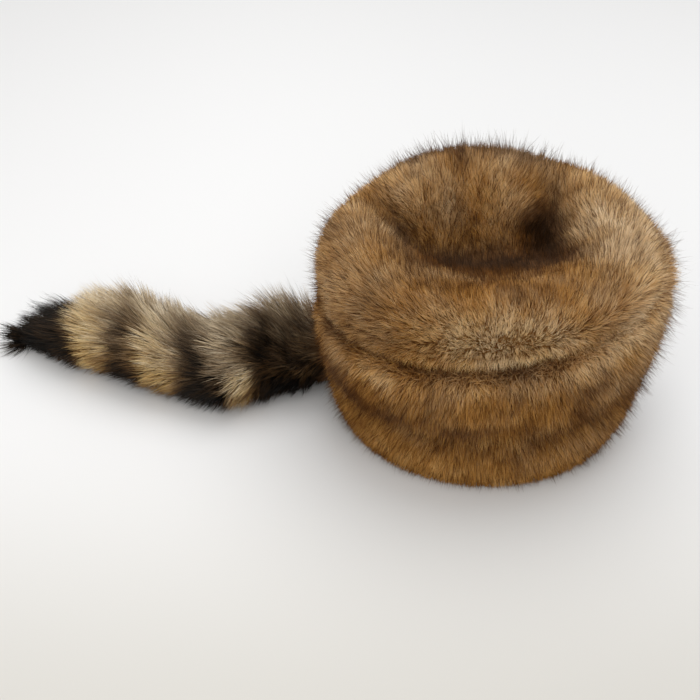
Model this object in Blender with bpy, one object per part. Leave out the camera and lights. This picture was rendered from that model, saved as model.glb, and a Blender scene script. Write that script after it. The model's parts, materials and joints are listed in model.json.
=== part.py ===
# A fur cap with a dented crown, a deep band and a ringed tail. Metres, +Z up.
# The cap rests on its hem with its front towards +X, and the tail lies behind it towards -X.
# The origin is the middle of the whole object's box, on the surface that it rests on.

import bpy
import bmesh
import math
import random
from collections import namedtuple
from mathutils import Vector

# Head opening and pelt
HEAD_LENGTH = 0.192       # inside the hem, front to back
HEAD_WIDTH = 0.175        # inside the hem, side to side
PELT_WALL = 0.009         # skin with its dense underfur
CAP_LOCK = 0.008          # how far the cap's locks stand out of the underfur

# Band and crown
SEAM_HEIGHT = 0.120       # crown seam over the hem, at the middle of the cap
SEAM_SLOPE = 0.17         # rise of the seam for each metre towards the front
SEAM_GAP = 0.0003         # clearance between the crown's edge and the band's
BAND_FLARE = 0.016        # how far the band's fullest line stands out beyond its hem
SEAM_FLARE = 0.007        # how far the seam stands out beyond the hem
CREST_HEIGHT = 0.163      # underfur at the crown's crest, over the hem

# Tail
TAIL_REACH = 0.260        # from the band to the tail's tip, along X
TAIL_WIDE = 0.080         # underfur, side to side at the fullest
TAIL_THICK = 0.068        # underfur, bottom to top at the fullest
TAIL_SINK = 0.006         # how much of its roundness the tail's own weight flattens below
TAIL_SWING = 0.066        # how far the tip lies to +Y of the cap's middle
TAIL_LOCK = 0.009         # how far the tail's locks stand out of the underfur
NECK_HEIGHT = 0.032       # middle of the neck over the hem's plane
NECK_CLEARANCE = 0.0006   # between the neck's end and the band

# How finely the pelts are divided
TURN_CELLS = 72           # round the band and the crown's rim, a multiple of 8
BAND_CELLS = 10           # from the seam to the hem
RIM_CELLS = 5             # from the crown's crest to the seam
TAIL_TURN_CELLS = 18
TAIL_CELLS = 26           # from the neck to the tip
NECK_END_RINGS = (0.66, 0.33)   # sizes of the rings inside the neck's end, in shares of the neck
CREST_WAY = 0.62          # share of the way from the crown's middle to its seam where the rim starts

HEM_HALF_LENGTH = HEAD_LENGTH / 2 + PELT_WALL
HEM_HALF_WIDTH = HEAD_WIDTH / 2 + PELT_WALL
SEAM_HALF_LENGTH = HEM_HALF_LENGTH + SEAM_FLARE
SEAM_HALF_WIDTH = HEM_HALF_WIDTH + SEAM_FLARE

# Outline of the band from the hem up: stand_out in shares of its flare, lock of the cap's lock
BandRow = namedtuple("BandRow", "up stand_out lock")
BAND_ROWS = (
    BandRow(0.00, 0.00, 0.60),
    BandRow(0.12, 0.22, 0.90),
    BandRow(0.30, 0.46, 1.00),
    BandRow(0.48, 0.64, 1.00),
    BandRow(0.64, 0.86, 1.00),
    BandRow(0.80, 1.04, 1.00),
    BandRow(0.92, 0.94, 0.80),
    BandRow(1.00, SEAM_FLARE / BAND_FLARE, 0.40),
)

# Soft folds and rolls of the band: turn and half_turn in degrees, up and half_up in shares of its
# height, push in shares of its flare, outwards where it is above nothing
BandFold = namedtuple("BandFold", "turn up half_turn half_up push")
BAND_FOLDS = (
    BandFold(-90, 0.47, 60, 0.07, -0.50),
    BandFold(-95, 0.70, 55, 0.11, 0.20),
    BandFold(-20, 0.55, 55, 0.40, 0.30),
    BandFold(-132, 0.40, 20, 0.12, -0.20),
    BandFold(-60, 0.28, 26, 0.12, 0.16),
    BandFold(35, 0.50, 40, 0.09, -0.30),
    BandFold(85, 0.36, 34, 0.12, 0.20),
    BandFold(122, 0.58, 26, 0.08, -0.30),
)

# Section of the crown from its middle out: reach in shares of the seam's half sizes, rise in shares
# of the height from the seam to the crest, lock in shares of the cap's lock
CrownRow = namedtuple("CrownRow", "way reach rise lock")
CROWN_ROWS = (
    CrownRow(0.00, 0.00, 0.72, 1.00),
    CrownRow(0.16, 0.22, 0.76, 1.00),
    CrownRow(0.30, 0.44, 0.88, 1.00),
    CrownRow(0.42, 0.61, 0.97, 1.00),
    CrownRow(0.53, 0.76, 1.00, 1.00),
    CrownRow(0.64, 0.90, 0.92, 1.00),
    CrownRow(0.75, 1.01, 0.73, 1.00),
    CrownRow(0.85, 1.07, 0.49, 1.00),
    CrownRow(0.93, 1.07, 0.24, 0.80),
    CrownRow(1.00, 1.00, 0.00, 0.40),
)

# Dents and pillows of the crown: place and half sizes in shares of the seam's half length, turned
# about +Z by turn degrees, push in shares of the height from the seam to the crest
CrownDent = namedtuple("CrownDent", "x y half_long half_across turn push")
CROWN_DENTS = (
    CrownDent(-0.04, 0.02, 0.60, 0.25, 3, -0.46),
    CrownDent(0.44, 0.14, 0.20, 0.46, 0, -0.52),
    CrownDent(-0.60, 0.16, 0.32, 0.13, -48, -0.30),
    CrownDent(-0.10, 0.54, 0.42, 0.26, 0, 0.20),
    CrownDent(0.00, -0.80, 0.70, 0.22, 0, 0.14),
    CrownDent(0.86, 0.20, 0.16, 0.50, 0, -0.08),
    CrownDent(-0.66, 0.56, 0.30, 0.14, 40, -0.08),
    CrownDent(0.52, -0.66, 0.30, 0.14, 38, -0.10),
)

# Tail from the neck to the tip: wide and thick in shares of its full sizes, aside in shares of its
# swing, lock in shares of its lock
TailRow = namedtuple("TailRow", "along wide thick aside lock")
TAIL_ROWS = (
    TailRow(0.00, 0.66, 0.74, 0.27, 0.00),
    TailRow(0.04, 0.70, 0.78, 0.28, 0.00),
    TailRow(0.08, 0.86, 0.90, 0.30, 0.80),
    TailRow(0.15, 0.98, 1.00, 0.30, 1.00),
    TailRow(0.24, 0.98, 1.00, 0.20, 1.00),
    TailRow(0.32, 1.00, 0.95, 0.15, 1.00),
    TailRow(0.43, 0.92, 0.92, 0.26, 1.00),
    TailRow(0.56, 1.00, 1.00, 0.50, 1.00),
    TailRow(0.69, 0.84, 0.92, 0.68, 1.00),
    TailRow(0.82, 0.66, 0.76, 0.81, 0.90),
    TailRow(0.92, 0.40, 0.52, 0.92, 0.70),
    TailRow(1.00, 0.12, 0.16, 1.00, 0.40),
)

# Locks: how far down its cells a lock's tip lies, and how much the locks differ
TIP_PLACE = 0.74
TIP_SPREAD = 0.10
RISE_SPREAD = 0.20
SIDE_SPREAD = 0.22
FLOOR_CLEARANCE = 0.001   # a lock's tip keeps this over the surface that the object rests on
NECK_BARE = 0.017         # the band has no locks this close to the neck's side
LYING_SIDE = -0.6         # the tail has no locks where its side faces further down than this

# Where shapes fade, in shares of the band's height, of the crown's way out and of the tail's reach
FOLD_FADE = 0.17          # from the seam and from the hem, the folds reach their full push
DENT_FADE = 0.33          # from the seam, the dents reach their full push
SHOULDER_PLACE = 0.12     # from the band, the neck's shape has faded out

# The crown's rim for its locks: it starts this far out, faces up less than this, and takes this
# share of the way from the crest to the seam
RIM_REACH = 0.80
RIM_FACING = 0.50
RIM_SHARE = 0.36

CREASE_ANGLE = 35         # degrees, edges that turn more than this are shaded sharp

# A cell of a pelt: its face, and its edge's corners at the back and at the front of the hair's lie
Cell = namedtuple("Cell", "face back front")


# A column's value at a place between the rows, on a smooth curve through them
def read_table(rows, column, at):
    places = [row[0] for row in rows]
    values = [getattr(row, column) for row in rows]
    at = min(max(at, places[0]), places[-1])
    last = len(rows) - 1
    index = max(k for k in range(last) if places[k] <= at)

    def slope(k):
        before = max(k - 1, 0)
        after = min(k + 1, last)
        return (values[after] - values[before]) / (places[after] - places[before])

    span = places[index + 1] - places[index]
    t = (at - places[index]) / span
    start_pull = slope(index) * span * (t - 1) ** 2 * t
    end_pull = slope(index + 1) * span * (t - 1) * t ** 2
    blend = t * t * (3 - 2 * t)
    return values[index] * (1 - blend) + values[index + 1] * blend + start_pull + end_pull


def turn_between(first, second):
    return (first - second + 180) % 360 - 180


# Height of the seam's plane over the hem
def seam_level(x):
    return SEAM_HEIGHT + SEAM_SLOPE * x


def band_stand_out(angle, up):
    stand_out = read_table(BAND_ROWS, "stand_out", up)
    fade = min(1.0, up / FOLD_FADE, (1 - up) / FOLD_FADE)
    for fold in BAND_FOLDS:
        round_share = turn_between(math.degrees(angle), fold.turn) / fold.half_turn
        up_share = (up - fold.up) / fold.half_up
        stand_out += fold.push * fade * math.exp(-round_share ** 2 - up_share ** 2)
    return BAND_FLARE * stand_out


# The band's underfur at an angle round the cap and a share of the way up to the seam
def band_point(angle, up):
    stand_out = band_stand_out(angle, up)
    x = (HEM_HALF_LENGTH + stand_out) * math.cos(angle)
    y = (HEM_HALF_WIDTH + stand_out) * math.sin(angle)
    return Vector((x, y, up * (seam_level(x) - SEAM_GAP / 2)))


# X of the band's underfur at the back of the cap
def band_back(y, z):
    x = -HEM_HALF_LENGTH
    for _ in range(6):
        angle = math.atan2(y / HEM_HALF_WIDTH, x / HEM_HALF_LENGTH)
        stand_out = band_stand_out(angle, z / seam_level(x))
        share = y / (HEM_HALF_WIDTH + stand_out)
        x = -(HEM_HALF_LENGTH + stand_out) * math.sqrt(1 - share ** 2)
    return x


def crown_dent(x, y):
    push = 0.0
    for dent in CROWN_DENTS:
        turn = math.radians(dent.turn)
        dx = x / SEAM_HALF_LENGTH - dent.x
        dy = y / SEAM_HALF_LENGTH - dent.y
        along = (dx * math.cos(turn) + dy * math.sin(turn)) / dent.half_long
        across = (dy * math.cos(turn) - dx * math.sin(turn)) / dent.half_across
        push += dent.push * math.exp(-along ** 2 - across ** 2)
    return push


# The crown's underfur at an angle and a share of the way from its middle to its seam
def crown_point(angle, way):
    reach = read_table(CROWN_ROWS, "reach", way)
    x = SEAM_HALF_LENGTH * reach * math.cos(angle)
    y = SEAM_HALF_WIDTH * reach * math.sin(angle)
    fade = min(1.0, (1 - way) / DENT_FADE)
    rise = read_table(CROWN_ROWS, "rise", way) + fade * crown_dent(x, y)
    seam = seam_level(x) + SEAM_GAP / 2
    return Vector((x, y, seam + rise * (CREST_HEIGHT - seam)))


def middle(corners):
    return (corners[0].co + corners[1].co) / 2


# Joins the cells of each chain two by two, staggered from chain to chain, and draws the middle of
# each pair out to the tip of a lock that lies along the chain
def grow_locks(mesh, chains, rise_at, seed):
    chance = random.Random(seed)
    mesh.normal_update()
    locks = []
    tips = []
    for number, chain in enumerate(chains):
        start = 0
        while start < len(chain):
            size = 1 if start == 0 and number % 2 else 2
            group = chain[start:start + size]
            start += size
            back = middle(group[0].back)
            front = middle(group[-1].front)
            side = group[0].back[1].co - group[0].back[0].co
            normal = sum((cell.face.normal for cell in group), Vector()).normalized()
            rise = rise_at((back + front) / 2, normal)
            place = TIP_PLACE + chance.uniform(-TIP_SPREAD, TIP_SPREAD)
            height = rise * (1 + chance.uniform(-RISE_SPREAD, RISE_SPREAD))
            aside = side * chance.uniform(-SIDE_SPREAD, SIDE_SPREAD)
            if rise <= 0:
                continue
            tip = back.lerp(front, place) + normal * height + aside
            tip.z = max(tip.z, FLOOR_CLEARANCE)
            face = group[0].face
            if len(group) == 2:
                face = bmesh.utils.face_join([cell.face for cell in group])
            locks.append(face)
            tips.append(tip)
    poked = bmesh.ops.poke(mesh, faces=locks)
    for vertex, tip in zip(poked["verts"], tips):
        vertex.co = tip


def new_cell(mesh, back, front):
    face = mesh.faces.new((back[0], back[1], front[1], front[0]))
    return Cell(face, back, front)


# Gives the open pelt its wall, inwards, and returns the corners that the wall adds
def thicken(mesh):
    outside = set(mesh.verts)
    mesh.normal_update()
    bmesh.ops.solidify(mesh, geom=list(mesh.faces), thickness=PELT_WALL)
    return [vertex for vertex in mesh.verts if vertex not in outside]


# Inner corners that the wall puts against an edge ring of the pelt
def inner_partners(ring, inner):
    added = set(inner)
    partners = []
    for vertex in ring:
        partners.extend(edge.other_vert(vertex) for edge in vertex.link_edges
                        if edge.other_vert(vertex) in added)
    return partners


def band_lock(point, normal):
    neck_side = math.hypot(point.y - TAIL_SWING * TAIL_ROWS[0].aside, point.z - NECK_HEIGHT)
    if point.x < 0 and neck_side < TAIL_WIDE * TAIL_ROWS[0].wide / 2 + NECK_BARE:
        return 0.0
    return CAP_LOCK * read_table(BAND_ROWS, "lock", point.z / seam_level(point.x))


def make_band():
    mesh = bmesh.new()
    angles = [math.tau * k / TURN_CELLS for k in range(TURN_CELLS)]
    rows = []
    for k in range(BAND_CELLS + 1):
        up = 1 - k / BAND_CELLS
        rows.append([mesh.verts.new(band_point(angle, up)) for angle in angles])
    chains = []
    for k in range(TURN_CELLS):
        side = (k + 1) % TURN_CELLS
        chains.append([new_cell(mesh, (upper[side], upper[k]), (lower[side], lower[k]))
                       for upper, lower in zip(rows, rows[1:])])
    inner = thicken(mesh)
    for vertex in inner_partners(rows[-1], inner):
        vertex.co.z = 0.0
    for vertex in inner_partners(rows[0], inner):
        vertex.co.z = seam_level(vertex.co.x) - SEAM_GAP / 2
    grow_locks(mesh, chains, band_lock, seed=3)
    return mesh


# Angle of a point of a square that is drawn out to a disc, ring by ring
def square_angle(a, b):
    if a == 0 and b == 0:
        return 0.0
    if abs(a) >= abs(b):
        return math.pi / 4 * b / a + (math.pi if a < 0 else 0.0)
    return math.pi / 2 - math.pi / 4 * a / b + (math.pi if b < 0 else 0.0)


def crown_lock(point, normal):
    reach = math.hypot(point.x / SEAM_HALF_LENGTH, point.y / SEAM_HALF_WIDTH)
    rise = (point.z - seam_level(point.x)) / (CREST_HEIGHT - seam_level(point.x))
    if normal.z < RIM_FACING and reach > RIM_REACH:
        way = 1 - RIM_SHARE * max(rise, 0.0)
        return CAP_LOCK * read_table(CROWN_ROWS, "lock", way)
    return CAP_LOCK


def make_crown():
    mesh = bmesh.new()
    half = TURN_CELLS // 8
    grid = {}
    for i in range(-half, half + 1):
        for j in range(-half, half + 1):
            way = CREST_WAY * max(abs(i), abs(j)) / half
            grid[i, j] = mesh.verts.new(crown_point(square_angle(i, j), way))
    rim_rows = [[grid[place] for place in rim_places(half)]]
    angles = [square_angle(i, j) for i, j in rim_places(half)]
    for k in range(RIM_CELLS):
        way = CREST_WAY + (1 - CREST_WAY) * (k + 1) / RIM_CELLS
        rim_rows.append([mesh.verts.new(crown_point(angle, way)) for angle in angles])
    chains = []
    places = rim_places(half)
    for k in range(TURN_CELLS):
        side = (k + 1) % TURN_CELLS
        chain = spoke_cells(mesh, grid, places[k], places[side])
        for upper, lower in zip(rim_rows, rim_rows[1:]):
            chain.append(new_cell(mesh, (upper[side], upper[k]), (lower[side], lower[k])))
        chains.append(chain)
    inner = thicken(mesh)
    for vertex in inner_partners(rim_rows[-1], inner):
        vertex.co.z = seam_level(vertex.co.x) + SEAM_GAP / 2
    grow_locks(mesh, chains, crown_lock, seed=5)
    return mesh


# Places round the square's edge, counter-clockwise from its +X -Y corner
def rim_places(half):
    side = range(-half, half)
    return ([(half, k) for k in side] + [(-k, half) for k in side]
            + [(-half, -k) for k in side] + [(k, -half) for k in side])


# The cells of the disc that lead straight out to the rim's cell between two places
def spoke_cells(mesh, grid, first, second):
    half = TURN_CELLS // 8
    axis = 0 if first[0] == second[0] else 1
    sign = 1 if first[axis] > 0 else -1
    corner_ring = min(abs(first[1 - axis]), abs(second[1 - axis]))
    start = corner_ring if axis == 0 else corner_ring + 1

    def corner(ring, place):
        return grid[(sign * ring, place[1]) if axis == 0 else (place[0], sign * ring)]

    cells = []
    for ring in range(start, half):
        back = (corner(ring, second), corner(ring, first))
        front = (corner(ring + 1, second), corner(ring + 1, first))
        cells.append(new_cell(mesh, back, front))
    return cells


def tail_lock(point, normal):
    root = band_back(0.0, NECK_HEIGHT)
    along = (root - point.x) / TAIL_REACH
    if normal.z < LYING_SIDE or point.z < TAIL_SINK:
        return 0.0
    return TAIL_LOCK * read_table(TAIL_ROWS, "lock", along)


# Corner of the tail's underfur: a flattened oval whose lower side lies on the surface. The neck's
# end follows the band, and size below 1 gives the rings that fill it
def tail_point(along, angle, size=1.0):
    half_wide = size * TAIL_WIDE * read_table(TAIL_ROWS, "wide", along) / 2
    half_thick = size * TAIL_THICK * read_table(TAIL_ROWS, "thick", along) / 2
    neck = max(0.0, 1 - along / SHOULDER_PLACE)
    height = (half_thick - TAIL_SINK) * (1 - neck) + NECK_HEIGHT * neck
    y = TAIL_SWING * read_table(TAIL_ROWS, "aside", along) + half_wide * math.cos(angle)
    z = max(0.0, height + half_thick * math.sin(angle))
    back = band_back(0.0, NECK_HEIGHT) * (1 - neck) + band_back(y, z) * neck
    return Vector((back - NECK_CLEARANCE - TAIL_REACH * along, y, z))


def make_tail():
    mesh = bmesh.new()
    angles = [math.tau * (k + 0.5) / TAIL_TURN_CELLS for k in range(TAIL_TURN_CELLS)]
    rings = []
    for k in range(TAIL_CELLS + 1):
        rings.append([mesh.verts.new(tail_point(k / TAIL_CELLS, angle)) for angle in angles])
    chains = []
    for k in range(TAIL_TURN_CELLS):
        side = (k + 1) % TAIL_TURN_CELLS
        chains.append([new_cell(mesh, (back[k], back[side]), (front[k], front[side]))
                       for back, front in zip(rings, rings[1:])])
    outer = rings[0]
    for size in NECK_END_RINGS:
        ring = [mesh.verts.new(tail_point(0, angle, size)) for angle in angles]
        for k in range(TAIL_TURN_CELLS):
            side = (k + 1) % TAIL_TURN_CELLS
            new_cell(mesh, (ring[k], ring[side]), (outer[k], outer[side]))
        outer = ring
    ends = [mesh.faces.new(outer), mesh.faces.new(reversed(rings[-1]))]
    bmesh.ops.recalc_face_normals(mesh, faces=list(mesh.faces))
    neck_end, tip = bmesh.ops.poke(mesh, faces=ends)["verts"]
    neck_end.co = tail_point(0, 0, size=0)
    tip.co.x -= TAIL_LOCK
    grow_locks(mesh, chains, tail_lock, seed=11)
    return mesh


def fur_material(name, colour):
    material = bpy.data.materials.new(name)
    material.use_nodes = True
    shader = material.node_tree.nodes["Principled BSDF"]
    shader.inputs["Base Color"].default_value = (*colour, 1.0)
    shader.inputs["Roughness"].default_value = 0.8
    shader.inputs["Metallic"].default_value = 0.0
    return material


def add_object(name, mesh, colour, collection):
    data = bpy.data.meshes.new(name)
    mesh.to_mesh(data)
    mesh.free()
    data.shade_smooth()
    data.set_sharp_from_angle(angle=math.radians(CREASE_ANGLE))
    data.materials.append(fur_material(name + "_fur", colour))
    piece = bpy.data.objects.new(name, data)
    collection.objects.link(piece)
    return piece


# Puts the origin at the middle of the whole object's box, on the surface that it rests on
def centre(pieces):
    corners = [vertex.co for piece in pieces for vertex in piece.data.vertices]
    low = Vector([min(corner[axis] for corner in corners) for axis in range(3)])
    high = Vector([max(corner[axis] for corner in corners) for axis in range(3)])
    for piece in pieces:
        piece.location = (-(low.x + high.x) / 2, -(low.y + high.y) / 2, -low.z)


def main():
    for old in list(bpy.data.objects):
        bpy.data.objects.remove(old, do_unlink=True)
    collection = bpy.data.collections.new("fur_cap")
    bpy.context.scene.collection.children.link(collection)
    pieces = [
        add_object("crown", make_crown(), (0.36, 0.22, 0.11), collection),
        add_object("band", make_band(), (0.27, 0.15, 0.07), collection),
        add_object("tail", make_tail(), (0.20, 0.15, 0.10), collection),
    ]
    centre(pieces)


main()
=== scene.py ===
import json
import math
from collections import namedtuple

import bmesh
import bpy
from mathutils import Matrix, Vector, noise


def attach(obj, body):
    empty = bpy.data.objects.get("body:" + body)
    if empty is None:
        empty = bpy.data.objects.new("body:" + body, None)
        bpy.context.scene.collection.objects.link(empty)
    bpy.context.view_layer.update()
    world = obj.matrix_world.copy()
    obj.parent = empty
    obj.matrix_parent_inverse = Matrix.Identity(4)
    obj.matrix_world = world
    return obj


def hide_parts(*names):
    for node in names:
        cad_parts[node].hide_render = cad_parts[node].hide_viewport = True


# A fur cap with a dented crown, a deep band and a ringed tail, all in metres.
# Each pelt is a skin with its underfur, and the hair that Geometry Nodes grow on it.

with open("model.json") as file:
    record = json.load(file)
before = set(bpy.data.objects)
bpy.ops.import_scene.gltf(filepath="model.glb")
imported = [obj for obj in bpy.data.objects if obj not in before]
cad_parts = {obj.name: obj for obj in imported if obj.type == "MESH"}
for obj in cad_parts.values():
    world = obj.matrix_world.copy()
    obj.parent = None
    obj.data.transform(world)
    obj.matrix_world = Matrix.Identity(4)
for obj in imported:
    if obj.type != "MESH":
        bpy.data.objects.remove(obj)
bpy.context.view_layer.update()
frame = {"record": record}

# The cap's middle is the middle of the space for the head
headSpace = frame["record"]["physics"]["openings"][0]["box_m"]
capMiddle = (headSpace[0][0] + headSpace[1][0]) / 2

cap = dict(
    headLength=0.192, headWidth=0.175,      # inside the hem
    pelt=0.009,                             # skin with its underfur
    seamHeight=0.120, seamSlope=0.17,       # over the hem, and its rise towards the front
    seamGap=0.0003,
    bandFlare=0.016, seamFlare=0.007,       # beyond the hem
    crestHeight=0.163,
    skinDepth=0.0038,                       # how deep under the coat's face the hair grows
    foldShare=0.45,                         # of the band's folds that the skin itself has
    # Round the seam, in degrees from the front of the head: the coat hides the furrow on the
    # right, and ends over it in a light fringe on the side that the camera sees
    coverTurn=-15, coverHalf=45, fringeTurn=-95, fringeHalf=38,
    seamFill=0.0065, plainFill=0.45, coverFill=0.55,
)
hemLong = cap["headLength"] / 2 + cap["pelt"]
hemWide = cap["headWidth"] / 2 + cap["pelt"]
seamLong = hemLong + cap["seamFlare"]
seamWide = hemWide + cap["seamFlare"]

# One hair's root: where it grows, the way it is combed, and its share of the coat's length, its
# shade from dark to light with painted shade and highlights in it, its hue from grey to golden,
# and how strongly the coat clumps there
Root = namedtuple("Root", "place comb length shade hue clump")


# A column's value between the rows of a table, on a smooth curve
def readTable(rows, column, at):
    places = [row[0] for row in rows]
    values = [getattr(row, column) for row in rows]
    at = min(max(at, places[0]), places[-1])
    last = len(rows) - 1
    index = max(k for k in range(last) if places[k] <= at)

    def slope(k):
        before = max(k - 1, 0)
        after = min(k + 1, last)
        return (values[after] - values[before]) / (places[after] - places[before])

    span = places[index + 1] - places[index]
    t = (at - places[index]) / span
    startPull = slope(index) * span * (t - 1) ** 2 * t
    endPull = slope(index + 1) * span * (t - 1) * t ** 2
    blend = t * t * (3 - 2 * t)
    return values[index] * (1 - blend) + values[index + 1] * blend + startPull + endPull


# Kept between 0 and 1
def clamp(value):
    return min(max(value, 0.0), 1.0)


def turnBetween(first, second):
    return (first - second + 180) % 360 - 180


# How far a value has come from start to end, from 0 to 1
def ramp(value, start, end):
    return clamp((value - start) / (end - start))


# A bell, 1 at its middle
def bell(value, middle, half):
    return math.exp(-((value - middle) / half) ** 2)


# Even turns round a ring
def evenTurns(sectors, shift=0.0):
    return [math.tau * (s + shift) / sectors for s in range(sectors)]


# A flat-topped share round the cap, 1 at a turn in degrees
def plateau(angle, turn, half):
    return math.exp(-(turnBetween(math.degrees(angle), turn) / half) ** 4)


# Lumps of a size in the coat's colour, up to an amount either way
Mottle = namedtuple("Mottle", "size amount seed")
seedSteps = (7.3, 3.1, 5.7)      # how far each seed moves the noise


def mottled(spot, mottles):
    total = 0.0
    for each in mottles:
        shift = Vector([each.seed * step for step in seedSteps])
        total += each.amount * noise.noise(spot / each.size + shift)
    return total


# Wires: node trees written as expressions

class Wire:
    def __init__(self, graph, socket):
        self.graph = graph
        self.socket = socket
        self.isVector = socket.type in ("VECTOR", "RGBA")

    def other(self, output):
        return Wire(self.graph, self.socket.node.outputs[output])

    def join(self, operation, first, second):
        vectors = [getattr(item, "isVector", isinstance(item, tuple)) for item in (first, second)]
        if operation == "MULTIPLY" and vectors.count(True) == 1:
            arrow, factor = (first, second) if vectors[0] else (second, first)
            return self.graph.node("ShaderNodeVectorMath", {"operation": "SCALE"},
                                   {"Vector": arrow, "Scale": factor})
        kind = "ShaderNodeVectorMath" if any(vectors) else "ShaderNodeMath"
        return self.graph.node(kind, {"operation": operation}, {0: first, 1: second})

    def __add__(self, value):
        return self.join("ADD", self, value)

    def __radd__(self, value):
        return self.join("ADD", value, self)

    def __sub__(self, value):
        return self.join("SUBTRACT", self, value)

    def __rsub__(self, value):
        return self.join("SUBTRACT", value, self)

    def __mul__(self, value):
        return self.join("MULTIPLY", self, value)

    def __rmul__(self, value):
        return self.join("MULTIPLY", value, self)

    def __truediv__(self, value):
        return self.join("DIVIDE", self, value)

    def __rtruediv__(self, value):
        return self.join("DIVIDE", value, self)

    def __lt__(self, value):
        return self.join("LESS_THAN", self, value)


class Graph:
    def __init__(self, tree):
        self.tree = tree

    # Adds a node: its settings first, then the values or wires of its sockets by name or number
    def node(self, kind, settings=None, sockets=None, output=0):
        made = self.tree.nodes.new(kind)
        for name, value in (settings or {}).items():
            if name == "stops":
                self.setStops(made.color_ramp, value)
            elif name == "captures":
                for item, itemType in value:
                    made.capture_items.new(itemType, item)
            else:
                setattr(made, name, value)
        for name, value in (sockets or {}).items():
            self.feed(self.find(made.inputs, name), value)
        if made.outputs:
            return Wire(self, made.outputs[output] if output else self.find(made.outputs, 0))

    def find(self, sockets, name):
        if isinstance(name, int):
            return [socket for socket in sockets if socket.enabled][name]
        return next(socket for socket in sockets if socket.name == name and socket.enabled)

    def feed(self, socket, value):
        if isinstance(value, Wire):
            self.tree.links.new(value.socket, socket)
        elif isinstance(value, tuple) and socket.type == "RGBA":
            socket.default_value = (*value, 1.0)
        else:
            socket.default_value = value

    def setStops(self, ramp, stops):
        while len(ramp.elements) < len(stops):
            ramp.elements.new(1.0)
        for element, (position, colour) in zip(ramp.elements, stops):
            element.position = position
            element.color = (*colour, 1.0)

    def arrow(self, operation, *values):
        sockets = dict(enumerate(values))
        output = "Value" if operation in ("DOT_PRODUCT", "LENGTH") else 0
        return self.node("ShaderNodeVectorMath", {"operation": operation}, sockets, output)

    def maths(self, operation, *values):
        return self.node("ShaderNodeMath", {"operation": operation}, dict(enumerate(values)))

    def fade(self, value, low, high):
        return self.node("ShaderNodeMapRange", {"interpolation_type": "SMOOTHSTEP"},
                         {"Value": value, "From Min": low, "From Max": high})

    def blend(self, factor, first, second):
        mixed = self.node("ShaderNodeMix", {"data_type": "RGBA"},
                          {"Factor": factor, "A": first, "B": second})
        return Wire(self, self.find(mixed.socket.node.outputs, "Result"))


# The hair: a Geometry Nodes tree that grows a tapered blade at each root, combs it along the
# pelt, bends it, and draws neighbours together into tufts

hueRows = 4      # rows of the hair's colour map, from grey to golden
blade = dict(
    lengthSpread=(0.65, 1.12), widthSpread=(0.7, 1.3), guardSpread=(0.5, 1.3),
    angleSpread=0.14, hueSpread=0.2, rollSpread=1.1,
    guardThinner=0.4,
    floorGap=0.0004,           # no hair reaches lower
    mapStart=(0.025, 0.04),    # where the darkest and greyest blade starts on the colour map
    mapShade=0.95, mapAcross=0.006, mapAlong=0.92,
)

furInputs = (
    ("Pelt", "NodeSocketGeometry"), ("Hairs per Square Metre", "NodeSocketFloat"),
    ("Length", "NodeSocketFloat"), ("Width", "NodeSocketFloat"), ("Bends", "NodeSocketInt"),
    ("Rise", "NodeSocketFloat"), ("Lay", "NodeSocketFloat"), ("Unevenness", "NodeSocketFloat"),
    ("Swirl", "NodeSocketFloat"), ("Swirl Size", "NodeSocketFloat"), ("Stray", "NodeSocketFloat"),
    ("Tuft Size", "NodeSocketFloat"), ("Tuft Pull", "NodeSocketFloat"),
    ("Tuft Shade", "NodeSocketFloat"), ("Hair Shade", "NodeSocketFloat"),
    ("Guard Share", "NodeSocketFloat"), ("Guard Length", "NodeSocketFloat"),
    ("Guard Rise", "NodeSocketFloat"), ("Guard Shade", "NodeSocketFloat"),
    ("Seed", "NodeSocketInt"), ("Hair Material", "NodeSocketMaterial"),
)


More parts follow.
